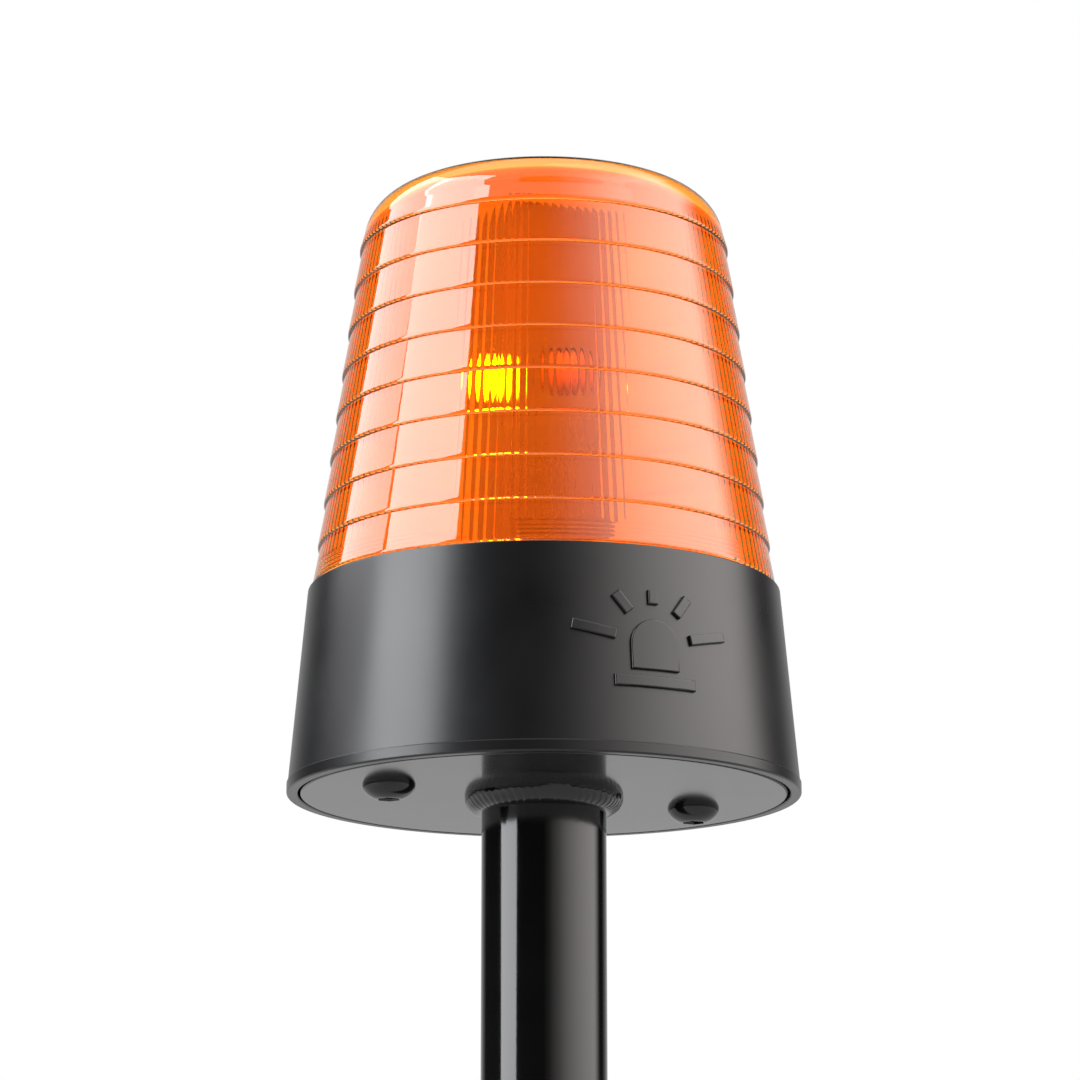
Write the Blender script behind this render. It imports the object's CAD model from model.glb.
from math import asin, atan2, cos, degrees, pi, radians, sin, sqrt, tan
import bmesh
import bpy
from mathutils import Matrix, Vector


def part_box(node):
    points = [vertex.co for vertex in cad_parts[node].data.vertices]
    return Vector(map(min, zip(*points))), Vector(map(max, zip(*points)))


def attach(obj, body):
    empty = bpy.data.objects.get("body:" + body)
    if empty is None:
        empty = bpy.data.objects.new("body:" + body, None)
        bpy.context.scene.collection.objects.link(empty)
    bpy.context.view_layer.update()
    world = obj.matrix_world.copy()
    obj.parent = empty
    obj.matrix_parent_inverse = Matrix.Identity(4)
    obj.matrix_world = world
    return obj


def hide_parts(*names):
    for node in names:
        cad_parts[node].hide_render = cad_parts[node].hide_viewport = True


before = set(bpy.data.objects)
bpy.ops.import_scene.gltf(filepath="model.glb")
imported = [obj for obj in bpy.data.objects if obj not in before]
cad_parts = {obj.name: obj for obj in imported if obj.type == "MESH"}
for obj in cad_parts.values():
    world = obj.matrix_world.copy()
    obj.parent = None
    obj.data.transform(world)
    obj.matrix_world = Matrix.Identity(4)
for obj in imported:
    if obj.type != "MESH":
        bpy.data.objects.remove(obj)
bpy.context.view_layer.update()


# ---- Camera
# A long lens stands below the beacon and to the left of its front. It is held level
# across and tipped up, so the underside of the plate shows.
mm = 0.001
rim_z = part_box("housing")[0][2]
camera_turn = radians(-25)
camera_reach = 0.726
camera_drop = 0.1236
camera_pitch = radians(13.67)
camera_aside = -0.0008
toward = Vector((sin(camera_turn), -cos(camera_turn), 0))
rightward = Vector((cos(camera_turn), sin(camera_turn), 0))
camera_data = bpy.data.cameras.new("camera")
camera_data.sensor_width = 36
camera_data.lens = 122.3
camera = bpy.data.objects.new("camera", camera_data)
camera.location = toward * camera_reach + Vector((0, 0, rim_z - camera_drop))
aim = rightward * camera_aside
aim.z = camera.location.z + camera_reach * tan(camera_pitch)
camera.rotation_euler = (aim - camera.location).to_track_quat("-Z", "Y").to_euler()
bpy.context.scene.collection.objects.link(camera)
bpy.context.scene.camera = camera
bpy.context.scene.view_settings.view_transform = "Standard"


# ---- Studio
# A tall cool box on the left, one high up behind it, one overhead, and a broad warm glow
# on the right. The pale floor shines a little itself, which keeps it even. The surround
# is white behind the beacon and dark at the camera.
head_middle = Vector((0, 0, rim_z + 50 * mm))


def soft_box(name, turn, rise, reach, width, height, power, colour):
    """A rectangular light that faces the beacon's head and doesn't show through the lens.

    turn is counted from the camera, to the right, and rise from level.
    """
    data = bpy.data.lights.new(name, "AREA")
    data.shape = "RECTANGLE"
    data.size, data.size_y = width, height
    data.energy, data.color = power, colour
    light = bpy.data.objects.new(name, data)
    around = camera_turn + radians(turn)
    flat = Vector((sin(around), -cos(around), 0)) * reach * cos(radians(rise))
    light.location = head_middle + flat + Vector((0, 0, reach * sin(radians(rise))))
    light.rotation_euler = (head_middle - light.location).to_track_quat("-Z", "Y").to_euler()
    light.visible_transmission = False
    bpy.context.scene.collection.objects.link(light)


soft_box("left_box", -68, 29, 1.65, 1.08, 1.86, 52, (0.95, 0.97, 1.0))
soft_box("left_high_box", -108, 38, 1.6, 0.88, 1.1, 15, (0.97, 0.97, 1.0))
soft_box("top_box", 10, 84, 1.3, 2.0, 1.8, 10, (1.0, 0.97, 0.97))

floor_r = 6
floor_mesh = bpy.data.meshes.new("floor")
floor_build = bmesh.new()
bmesh.ops.create_circle(floor_build, cap_ends=True, segments=96, radius=floor_r)
floor_build.to_mesh(floor_mesh)
floor_build.free()
floor = bpy.data.objects.new("floor", floor_mesh)
bpy.context.scene.collection.objects.link(floor)
floor_paint = bpy.data.materials.new("floor_paint")
floor_paint.use_nodes = True
floor_shader = floor_paint.node_tree.nodes["Principled BSDF"]
floor_shader.inputs["Base Color"].default_value = (0.12, 0.12, 0.12, 1)
floor_shader.inputs["Emission Color"].default_value = (1, 1, 1, 1)
floor_shader.inputs["Emission Strength"].default_value = 0.48
floor_shader.inputs["Roughness"].default_value = 0.7
floor_mesh.materials.append(floor_paint)

surround = bpy.data.worlds.new("surround")
bpy.context.scene.world = surround
surround.use_nodes = True
sky = surround.node_tree
sky.nodes.clear()


def sky_vector(operation, *values):
    """The node that joins values by a vector operation; each is a socket or a vector."""
    node = sky.nodes.new("ShaderNodeVectorMath")
    node.operation = operation
    for socket, value in zip(node.inputs, values):
        if isinstance(value, bpy.types.NodeSocket):
            sky.links.new(value, socket)
        else:
            socket.default_value = value
    return node


def sky_ramp(value, steps, tint=(1, 1, 1)):
    """Light that follows value through the steps, each a position and a level."""
    node = sky.nodes.new("ShaderNodeValToRGB")
    elements = node.color_ramp.elements
    while len(elements) < len(steps):
        elements.new(0.5)
    for element, (position, level) in zip(elements, steps):
        element.position = position
        element.color = (*[level * part for part in tint], 1)
    sky.links.new(value, node.inputs["Fac"])
    return node.outputs["Color"]


def sky_choice(question, when_not, when_so):
    """One of two backgrounds, chosen by what kind of ray asks."""
    node = sky.nodes.new("ShaderNodeMixShader")
    for socket, answer in zip(node.inputs, (question, when_not, when_so)):
        sky.links.new(answer, socket)
    return node.outputs["Shader"]


sky_place = sky.nodes.new("ShaderNodeTexCoord").outputs["Generated"]
sky_height = sky.nodes.new("ShaderNodeSeparateXYZ")
sky.links.new(sky_place, sky_height.inputs["Vector"])
behind = sky_vector("DOT_PRODUCT", sky_place, -toward).outputs["Value"]
behind_light = sky_ramp(behind, [(0.68, 0.02), (1.0, 0.8)])
glow_turn = camera_turn + radians(84)
glow_middle = (sin(glow_turn), -cos(glow_turn), 0)
glow_level = sky_vector("MULTIPLY", sky_place, (1, 1, 0)).outputs["Vector"]
glow_unit = sky_vector("NORMALIZE", glow_level).outputs["Vector"]
glow_near = sky_vector("DOT_PRODUCT", glow_unit, glow_middle).outputs["Value"]
glow_across = sky_ramp(
    glow_near, [(0.1, 0.0), (0.28, 0.06), (0.55, 0.28), (0.84, 0.72), (1.0, 1.0)], (1.0, 0.95, 0.93)
)
glow_upright = sky_ramp(
    sky_height.outputs["Z"],
    [(0.0, 0.0), (0.06, 3.4), (0.25, 4.2), (0.50, 5.4), (0.75, 5.0), (0.92, 1.0)],
)
glow_end = sky.nodes.new("ShaderNodeMapRange")
glow_end.interpolation_type = "SMOOTHSTEP"
glow_end.inputs["From Min"].default_value = 0.55
glow_end.inputs["From Max"].default_value = 0.20
sky.links.new(behind, glow_end.inputs["Value"])
glow_light = sky_vector("MULTIPLY", glow_across, glow_upright).outputs["Vector"]
glow_light = sky_vector("MULTIPLY", glow_light, glow_end.outputs["Result"]).outputs["Vector"]
sky_dim = sky.nodes.new("ShaderNodeBackground")
sky.links.new(
    sky_vector("ADD", glow_light, behind_light).outputs["Vector"], sky_dim.inputs["Color"]
)
sky_white = sky.nodes.new("ShaderNodeBackground")
sky_white.inputs["Color"].default_value = (1, 1, 1, 1)
sky_through = sky.nodes.new("ShaderNodeBackground")
sky_through.inputs["Color"].default_value = (1.6, 1.6, 1.6, 1)
sky_ray = sky.nodes.new("ShaderNodeLightPath")
sky_out = sky.nodes.new("ShaderNodeOutputWorld")
sky_seen = sky_choice(
    sky_ray.outputs["Is Transmission Ray"],
    sky_dim.outputs["Background"],
    sky_through.outputs["Background"],
)
sky_seen = sky_choice(
    sky_ray.outputs["Is Camera Ray"], sky_seen, sky_white.outputs["Background"]
)
sky.links.new(sky_seen, sky_out.inputs["Surface"])


# ---- Stem
# 25 mm steel tube with a 2 mm wall, powder coated gloss black. Its upper end is turned
# down and runs through the weld and the plate.
def turn_profile(build, points, steps):
    """Spin a closed half section, given as radius and height, round the upright axis."""
    corners = [build.verts.new((radius, 0, height)) for radius, height in points]
    sides = [build.edges.new(pair) for pair in zip(corners, corners[1:] + corners[:1])]
    bmesh.ops.spin(
        build,
        geom=corners + sides,
        axis=(0, 0, 1),
        cent=(0, 0, 0),
        angle=2 * pi,
        steps=steps,
        use_merge=True,
    )
    bmesh.ops.remove_doubles(build, verts=build.verts, dist=1e-6)
    bmesh.ops.dissolve_degenerate(build, edges=build.edges, dist=1e-7)
    bmesh.ops.recalc_face_normals(build, faces=build.faces)


def finish_piece(build, name, body, material, sharp=35):
    """Make an object of a finished mesh, shade it and hang it on its body."""
    mesh = bpy.data.meshes.new(name)
    build.to_mesh(mesh)
    build.free()
    mesh.shade_smooth()
    mesh.set_sharp_from_angle(angle=radians(sharp))
    mesh.materials.append(material)
    piece = bpy.data.objects.new(name, mesh)
    bpy.context.scene.collection.objects.link(piece)
    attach(piece, body)
    return piece


def surface(name, dark, light, rough, grain, depth, metallic=0.0, smear=0.0):
    """A material with fine grain: colour, roughness and height all vary at that grain size.

    dark and light are the two ends of the colour, rough the two ends of the roughness,
    grain the size of one speck, and depth how high the grain stands.
    """
    material = bpy.data.materials.new(name)
    material.use_nodes = True
    tree = material.node_tree
    shader = tree.nodes["Principled BSDF"]
    shader.inputs["Metallic"].default_value = metallic
    place = tree.nodes.new("ShaderNodeTexCoord")
    fine = tree.nodes.new("ShaderNodeTexNoise")
    fine.inputs["Scale"].default_value = 1 / grain
    fine.inputs["Detail"].default_value = 3
    broad = tree.nodes.new("ShaderNodeTexNoise")
    broad.inputs["Scale"].default_value = 45
    broad.inputs["Detail"].default_value = 5
    broad.inputs["Distortion"].default_value = smear
    colour = tree.nodes.new("ShaderNodeValToRGB")
    colour.color_ramp.elements[0].position = 0.3
    colour.color_ramp.elements[0].color = (*dark, 1)
    colour.color_ramp.elements[1].position = 0.7
    colour.color_ramp.elements[1].color = (*light, 1)
    gloss = tree.nodes.new("ShaderNodeMapRange")
    gloss.inputs["From Min"].default_value = 0.3
    gloss.inputs["From Max"].default_value = 0.7
    gloss.inputs["To Min"].default_value, gloss.inputs["To Max"].default_value = rough
    height = tree.nodes.new("ShaderNodeBump")
    height.inputs["Strength"].default_value = 1.0
    height.inputs["Distance"].default_value = depth
    tree.links.new(place.outputs["Object"], fine.inputs["Vector"])
    tree.links.new(place.outputs["Object"], broad.inputs["Vector"])
    tree.links.new(broad.outputs["Fac"], colour.inputs["Fac"])
    tree.links.new(broad.outputs["Fac"], gloss.inputs["Value"])
    tree.links.new(fine.outputs["Fac"], height.inputs["Height"])
    tree.links.new(colour.outputs["Color"], shader.inputs["Base Color"])
    tree.links.new(gloss.outputs["Result"], shader.inputs["Roughness"])
    tree.links.new(height.outputs["Normal"], shader.inputs["Normal"])
    return material


stem_paint = surface(
    "stem_paint", (0.002, 0.002, 0.002), (0.004, 0.004, 0.004), (0.07, 0.12), 1.1 * mm, 0.003 * mm
)
tube_r = 12.5 * mm
tube_bore = 10.5 * mm
tube_end_r = 12.2 * mm
weld_leg = 3.4 * mm
tube_round = 0.4 * mm
tube_bevel = 0.3 * mm
flat_margin = 0.6 * mm
tube_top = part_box("stem_tube")[1][2]
weld_toe_z = rim_z - weld_leg
stem_build = bmesh.new()
turn_profile(
    stem_build,
    [
        (tube_bore, tube_bevel),
        (tube_bore + tube_bevel, 0),
        (tube_r - tube_round, 0),
        (tube_r - 0.3 * tube_round, 0.3 * tube_round),
        (tube_r, tube_round),
        (tube_r, tube_round + flat_margin),
        (tube_r, weld_toe_z - flat_margin),
        (tube_r, weld_toe_z),
        (tube_end_r, weld_toe_z),
        (tube_end_r, tube_top - tube_bevel),
        (tube_end_r - tube_bevel, tube_top),
        (tube_bore, tube_top),
    ],
    144,
)
stem = finish_piece(stem_build, "stem", "base", stem_paint)
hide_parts("stem_tube")


# ---- Weld
# One run of weld all round the tube, a convex bead with the ripples that the torch
# leaves, painted over with the same black.
face_steps = 13
ripple_count = 58
ripple_height = 0.22 * mm
ripple_bow = 0.8
ripple_sink = 0.1 * mm
weld_points = [(tube_end_r, rim_z), (tube_end_r, weld_toe_z)]
for step in range(face_steps + 1):
    slope = pi / 2 * step / face_steps
    weld_points.append((tube_r + weld_leg * sin(slope), rim_z - weld_leg * cos(slope)))
weld_build = bmesh.new()
turn_profile(weld_build, weld_points, 432)
for vertex in weld_build.verts:
    x, y, z = vertex.co
    radius = sqrt(x * x + y * y)
    if radius < tube_r + 0.1 * mm or z > rim_z - 0.05 * mm:
        continue
    across = atan2(radius - tube_r, rim_z - z) / (pi / 2)
    turn = atan2(y, x) / (2 * pi)
    # Each ripple is a crescent, bowed forward in the middle of the bead, and none is quite even.
    phase = (turn * ripple_count + ripple_bow * (2 * across - 1) ** 2) % 1
    wander = 0.10 * mm * sin(2 * pi * turn * 5 + 1) + 0.06 * mm * sin(2 * pi * turn * 11)
    lift = (ripple_height * (1 - phase) ** 0.7 + wander - ripple_sink) * sin(pi * across)
    slope = pi / 2 * across
    vertex.co += Vector((x / radius * sin(slope), y / radius * sin(slope), -cos(slope))) * lift
weld = finish_piece(weld_build, "weld", "base", stem_paint, sharp=80)
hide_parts("weld_bead")


# ---- Base plate
# Laser-cut steel disc, 3 mm thick, painted black with the stem. The paint is smooth
# enough for the stem to show in it.
def paint_node(material, *names):
    """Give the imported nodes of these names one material."""
    for name in names:
        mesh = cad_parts[name].data
        mesh.materials.clear()
        mesh.materials.append(material)


plate_paint = surface(
    "plate_paint", (0.004, 0.004, 0.004), (0.007, 0.007, 0.007), (0.09, 0.15), 1.1 * mm, 0.002 * mm
)
paint_node(plate_paint, "base_plate")


# ---- Rubber parts
# Flat gasket above the plate, grommet in the end of the tube and seal under the lens,
# all moulded or cut from black rubber.
gasket_rubber = surface(
    "gasket_rubber", (0.012, 0.012, 0.012), (0.03, 0.03, 0.03), (0.55, 0.75), 0.3 * mm, 0.03 * mm
)
paint_node(gasket_rubber, "plate_gasket", "cable_grommet", "lens_seal")


# ---- Housing and emblem
# Black nylon moulding with a fine satin grain. The emblem of a beacon and its rays
# stands up from the front and is part of the same moulding.
housing_plastic = surface(
    "housing_plastic",
    (0.002, 0.002, 0.0025),
    (0.004, 0.004, 0.0045),
    (0.27, 0.33),
    0.22 * mm,
    0.006 * mm,
)
paint_node(housing_plastic, "housing", "front_emblem")


# ---- Plate screws
# M6 button head screws with a hexagon socket, black zinc plated and oiled. They pass
# up through the plate into brass inserts.
black_screw = surface(
    "black_screw", (0.002, 0.002, 0.002), (0.005, 0.005, 0.005), (0.10, 0.20), 0.4 * mm, 0.005 * mm
)
head_r = 5.25 * mm
head_height = 3.3 * mm
shank_r = 3.0 * mm
hex_half = 2.0 * mm
hex_depth = 2.0 * mm
mouth_r = 2.5 * mm
drill_point = 0.4 * mm
shank_bevel = 0.5 * mm
dome_steps = 13
socket_z = rim_z - head_height + hex_depth
mouth_z = rim_z - head_height * sqrt(1 - (mouth_r / head_r) ** 2)
mouth_slope = asin(mouth_r / head_r)
for side in ("left", "right"):
    low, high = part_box("mount_screw_" + side)
    middle_x = (low[0] + high[0]) / 2
    points = [(0, socket_z + drill_point), (hex_half * 0.96, socket_z)]
    points += [(hex_half, socket_z - 0.06 * mm), (hex_half, mouth_z + 0.12 * mm)]
    points += [(hex_half * 1.03, mouth_z + 0.02 * mm), (mouth_r, mouth_z)]
    for step in range(1, dome_steps + 1):
        slope = mouth_slope + (pi / 2 - mouth_slope) * step / dome_steps
        points.append((head_r * sin(slope), rim_z - head_height * cos(slope)))
    points += [(shank_r, rim_z), (shank_r, high[2] - shank_bevel)]
    points += [(shank_r - shank_bevel, high[2]), (0, high[2])]
    screw_build = bmesh.new()
    turn_profile(screw_build, points, 60)
    for vertex in screw_build.verts:
        x, y, z = vertex.co
        radius = sqrt(x * x + y * y)
        if 0 < radius < hex_half * 1.05 and z < rim_z - 0.4 * mm:
            corner = (atan2(y, x) + pi) % (pi / 3) - pi / 6
            vertex.co.x, vertex.co.y = x / cos(corner), y / cos(corner)
    bmesh.ops.translate(screw_build, vec=(middle_x, 0, 0), verts=screw_build.verts)
    screw = finish_piece(screw_build, "plate_screw_" + side, "base", black_screw)
    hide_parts("mount_screw_" + side)


# ---- Brass parts
# Knurled inserts for the plate screws and hexagon posts for the driver board, turned
# from brass bar.
brass = surface(
    "brass", (0.55, 0.36, 0.12), (0.68, 0.47, 0.18), (0.22, 0.36), 0.25 * mm, 0.02 * mm, metallic=1.0
)
paint_node(brass, "insert_left", "insert_right", "board_post_1", "board_post_2", "board_post_3")


# ---- Heat spreader and tower core
# Aluminium disc on the deck, with a square extrusion standing on it, both left as
# rolled and drawn.
aluminium = surface(
    "aluminium",
    (0.62, 0.63, 0.64),
    (0.78, 0.79, 0.80),
    (0.26, 0.40),
    0.3 * mm,
    0.01 * mm,
    metallic=1.0,
    smear=1.5,
)
paint_node(aluminium, "heat_spreader", "tower_core")


# ---- Reflector sleeve and cap
# Square tube with rounded corners round the LED boards, with a round window at each LED
# and a cap on top. Both are vacuum plated, in a smoky metal shade.
bright_plating = surface(
    "bright_plating",
    (0.34, 0.33, 0.33),
    (0.42, 0.41, 0.41),
    (0.22, 0.34),
    2.0 * mm,
    0.01 * mm,
    metallic=1.0,
)
paint_node(bright_plating, "reflector_sleeve", "tower_cap")


# ---- Small screws, tie bolt and nut
# Zinc plated steel, with the faint mottle of the plating.
steel_screw = surface(
    "steel_screw",
    (0.48, 0.49, 0.50),
    (0.62, 0.63, 0.63),
    (0.22, 0.38),
    0.5 * mm,
    0.008 * mm,
    metallic=1.0,
    smear=1.0,
)
paint_node(
    steel_screw,
    "tie_bolt",
    "tie_nut",
    *[f"spreader_screw_{index}" for index in range(1, 5)],
    *[f"board_screw_{index}" for index in range(1, 4)],
    *[f"terminal_screw_{index}" for index in range(1, 4)],
)


# ---- Circuit boards
# The driver board is glass fibre with a green mask over its copper tracks. The LED
# boards are aluminium with a white mask.
def board_mask(name, mask, track, pitch, rough):
    """Solder mask with square-cornered tracks showing under it."""
    material = surface(name, mask, mask, rough, 0.4 * mm, 0.004 * mm)
    tree = material.node_tree
    shader = tree.nodes["Principled BSDF"]
    place = tree.nodes["Texture Coordinate"]
    bricks = tree.nodes.new("ShaderNodeTexBrick")
    bricks.inputs["Color1"].default_value = (*mask, 1)
    bricks.inputs["Color2"].default_value = (*[0.85 * part for part in mask], 1)
    bricks.inputs["Mortar"].default_value = (*track, 1)
    bricks.inputs["Scale"].default_value = 1 / pitch
    bricks.inputs["Mortar Size"].default_value = 0.05
    bricks.inputs["Bias"].default_value = -0.4
    tree.links.new(place.outputs["Object"], bricks.inputs["Vector"])
    tree.links.new(bricks.outputs["Color"], shader.inputs["Base Color"])
    return material


circuit_board = board_mask(
    "circuit_board", (0.01, 0.12, 0.03), (0.03, 0.24, 0.06), 5 * mm, (0.25, 0.4)
)
led_board_white = board_mask(
    "led_board_white", (0.72, 0.72, 0.70), (0.60, 0.60, 0.58), 6 * mm, (0.3, 0.45)
)
paint_node(circuit_board, "driver_board")
sides = ("front", "right", "back", "left")
paint_node(led_board_white, *["led_board_" + side for side in sides])


# ---- LEDs
# Clear silicone domes over a yellow phosphor. The two on the left and right sides are
# on, and the front and back ones are off.
def led_material(name, colour, glow):
    """Silicone dome with a cloudy phosphor below; glow is how bright the LED shines."""
    pale = [min(1, 1.15 * part) for part in colour]
    material = surface(name, colour, pale, (0.08, 0.2), 0.6 * mm, 0.01 * mm)
    shader = material.node_tree.nodes["Principled BSDF"]
    shader.inputs["Coat Weight"].default_value = 0.6
    shader.inputs["Emission Color"].default_value = (1.0, 0.86, 0.0, 1)
    shader.inputs["Emission Strength"].default_value = glow
    return material


led_on = led_material("led_on", (0.85, 0.66, 0.10), 40)
led_off = led_material("led_off", (0.72, 0.50, 0.10), 0)
paint_node(led_on, "led_left", "led_right")
paint_node(led_off, "led_front", "led_back")


# ---- Plastic and ferrite parts of the driver
# Green polyamide sockets and terminal block, a sleeved capacitor, and the dull black
# of the inductor and the chip.
terminal_plastic = surface(
    "terminal_plastic", (0.07, 0.24, 0.10), (0.10, 0.30, 0.13), (0.4, 0.55), 0.3 * mm, 0.01 * mm
)
capacitor_sleeve = surface(
    "capacitor_sleeve", (0.02, 0.02, 0.03), (0.03, 0.03, 0.05), (0.25, 0.35), 0.5 * mm, 0.005 * mm
)
ferrite = surface(
    "ferrite", (0.02, 0.02, 0.02), (0.045, 0.045, 0.05), (0.5, 0.7), 0.2 * mm, 0.03 * mm
)
paint_node(terminal_plastic, "terminal_block", *["led_socket_" + side for side in sides])
paint_node(capacitor_sleeve, "capacitor")
paint_node(ferrite, "inductor", "driver_chip")


# ---- Lens
# Amber polycarbonate, moulded in one piece: stepped rings outside, upright flutes inside,
# and fine level ribs in four arcs just above the housing. It turns to lock.
foot_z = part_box("lens")[0][2]
housing_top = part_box("housing")[1][2]
lens_taper = radians(7.06)
lens_wall = 2.0 * mm
lens_foot_r = 46.6 * mm
# One ring: how far out from the bottom of its groove, and how far up, in mm.
ring_outline = [(0.0, 0.0), (0.20, 0.06), (0.36, 0.22), (0.42, 0.48), (0.40, 0.80)]
ring_pitch = 9.0 * mm
ring_count = 8
first_ring = housing_top + 8.7 * mm
shoulder_z = housing_top + 75.6 * mm
shoulder_r = 9.0 * mm
crown_slope = radians(10)
flute_count = 144
flute_steps = 4
flute_depth = 0.065 * mm
flute_gather = 0.14
rib_pitch = 0.9 * mm
rib_count = 5
rib_steps = 4
rib_depth = 0.13 * mm
rib_half_arc = 32
lug_half_arc = 12
lug_height = 2.0 * mm
lug_depth = 1.7 * mm


def cone_r(z):
    """Radius of the lens at the bottom of its ring grooves."""
    return lens_foot_r - (z - housing_top) * tan(lens_taper)


def inside_r(z):
    """Radius of the inner wall between the flutes."""
    return cone_r(z) - lens_wall / cos(lens_taper)


def arc(centre, radius, start, end, count):
    """Points on an arc in the half section, both ends included."""
    turns = [start + (end - start) * step / count for step in range(count + 1)]
    return [(centre[0] + radius * cos(turn), centre[1] + radius * sin(turn)) for turn in turns]


def between(first, last, *reaches):
    """Points on the straight line from first to last, this far from first (or before last)."""
    length = last[1] - first[1]
    spots = [reach if reach > 0 else length + reach for reach in reaches]
    return [
        (first[0] + (last[0] - first[0]) * spot / length, first[1] + spot) for spot in spots
    ]


shoulder_centre = (
    cone_r(shoulder_z) - shoulder_r * cos(lens_taper),
    shoulder_z - shoulder_r * sin(lens_taper),
)
crown_r = shoulder_centre[0] / sin(crown_slope) + shoulder_r
crown_centre = (0.0, shoulder_centre[1] - (crown_r - shoulder_r) * cos(crown_slope))
lip_z = housing_top + 0.2 * mm
ring_feet = [lip_z] + [first_ring + ring_pitch * index for index in range(ring_count)]
lens_points = [(lens_foot_r, foot_z), (lens_foot_r, lip_z - 0.02 * mm)]
for foot, top in zip(ring_feet, ring_feet[1:] + [shoulder_z]):
    lens_points += [(cone_r(foot) + out * mm, foot + up * mm) for out, up in ring_outline]
    lens_points += between(lens_points[-1], (cone_r(top), top), 0.2 * mm, -0.25 * mm)
lens_points += arc(shoulder_centre, shoulder_r, lens_taper, pi / 2 - crown_slope, 12)
lens_points += arc(crown_centre, crown_r, pi / 2 - crown_slope, pi / 2, 6)[1:]
lens_points += arc(crown_centre, crown_r - lens_wall, pi / 2, pi / 2 - crown_slope, 6)
lens_points += arc(
    shoulder_centre, shoulder_r - lens_wall, pi / 2 - crown_slope, lens_taper, 10
)[1:]
flute_top = lens_points[-1][1] - 1.2 * mm
flute_foot = lip_z + rib_pitch * rib_count + 0.4 * mm
for z in (flute_top + 0.25 * mm, flute_top, flute_top - 0.3 * mm):
    lens_points.append((inside_r(z), z))
for z in (flute_foot + 0.3 * mm, flute_foot):
    lens_points.append((inside_r(z), z))
for index in range(rib_count * rib_steps - 1, -1, -1):
    z = lip_z + rib_pitch * index / rib_steps
    lens_points.append((inside_r(z), z))
lug_top = foot_z + lug_height
for z in (housing_top - 0.5 * mm, lug_top + 0.05 * mm, lug_top, foot_z):
    lens_points.append((lens_foot_r - lens_wall, z))
lens_build = bmesh.new()
turn_profile(lens_build, lens_points, flute_count * flute_steps)
for vertex in lens_build.verts:
    x, y, z = vertex.co
    radius = sqrt(x * x + y * y)
    if radius < 1e-6 or radius > cone_r(z) - lens_wall / 2 or z > flute_top + 1e-6:
        continue
    turn = atan2(x, -y)
    from_side = abs(degrees((turn + pi / 4) % (pi / 2) - pi / 4))
    corner = round(turn / (2 * pi) * flute_count * flute_steps) % flute_steps
    push = slide = 0.0
    if z > flute_foot - 1e-6 or (z > lip_z - 1e-6 and from_side >= rib_half_arc):
        # A flute: one corner stands in, and the two beside it gather towards it.
        push = -flute_depth if corner == 0 else 0.0
        slide = (0, -flute_gather, 0, flute_gather)[corner] * 2 * pi / flute_count
    elif z > lip_z - 1e-6:
        # The level ribs, a wave down each of the four arcs.
        rise = z - lip_z + 0.01 * mm
        push = -rib_depth * (0.5 - 0.5 * cos(2 * pi * rise / rib_pitch))
    elif z < lug_top + 0.02 * mm and from_side < lug_half_arc:
        # A lug that locks the lens to the housing.
        push = -lug_depth
    vertex.co.x = (radius + push) * sin(turn + slide)
    vertex.co.y = -(radius + push) * cos(turn + slide)

amber = bpy.data.materials.new("amber_polycarbonate")
amber.use_nodes = True
amber_tree = amber.node_tree
amber_shader = amber_tree.nodes["Principled BSDF"]
amber_shader.inputs["Transmission Weight"].default_value = 1.0
amber_shader.inputs["IOR"].default_value = 1.58
amber_place = amber_tree.nodes.new("ShaderNodeTexCoord")
amber_flow = amber_tree.nodes.new("ShaderNodeTexNoise")
amber_flow.inputs["Scale"].default_value = 30
amber_flow.inputs["Detail"].default_value = 4
amber_tint = amber_tree.nodes.new("ShaderNodeValToRGB")
amber_tint.color_ramp.elements[0].position = 0.3
amber_tint.color_ramp.elements[0].color = (0.985, 0.31, 0.040, 1)
amber_tint.color_ramp.elements[1].position = 0.7
amber_tint.color_ramp.elements[1].color = (0.995, 0.36, 0.050, 1)
amber_gloss = amber_tree.nodes.new("ShaderNodeMapRange")
amber_gloss.inputs["To Min"].default_value = 0.015
amber_gloss.inputs["To Max"].default_value = 0.05
amber_clear = amber_tree.nodes.new("ShaderNodeBsdfTransparent")
amber_clear.inputs["Color"].default_value = (0.95, 0.45, 0.15, 1)
amber_path = amber_tree.nodes.new("ShaderNodeLightPath")
amber_mix = amber_tree.nodes.new("ShaderNodeMixShader")
amber_out = amber_tree.nodes["Material Output"]
amber_tree.links.new(amber_place.outputs["Object"], amber_flow.inputs["Vector"])
amber_tree.links.new(amber_flow.outputs["Fac"], amber_tint.inputs["Fac"])
amber_tree.links.new(amber_flow.outputs["Fac"], amber_gloss.inputs["Value"])
amber_tree.links.new(amber_tint.outputs["Color"], amber_shader.inputs["Base Color"])
amber_tree.links.new(amber_gloss.outputs["Result"], amber_shader.inputs["Roughness"])
amber_tree.links.new(amber_path.outputs["Is Shadow Ray"], amber_mix.inputs[0])
amber_tree.links.new(amber_shader.outputs[0], amber_mix.inputs[1])
amber_tree.links.new(amber_clear.outputs[0], amber_mix.inputs[2])
amber_tree.links.new(amber_mix.outputs[0], amber_out.inputs["Surface"])
lens = finish_piece(lens_build, "lens_moulding", "lens_cover", amber, sharp=50)
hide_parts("lens")
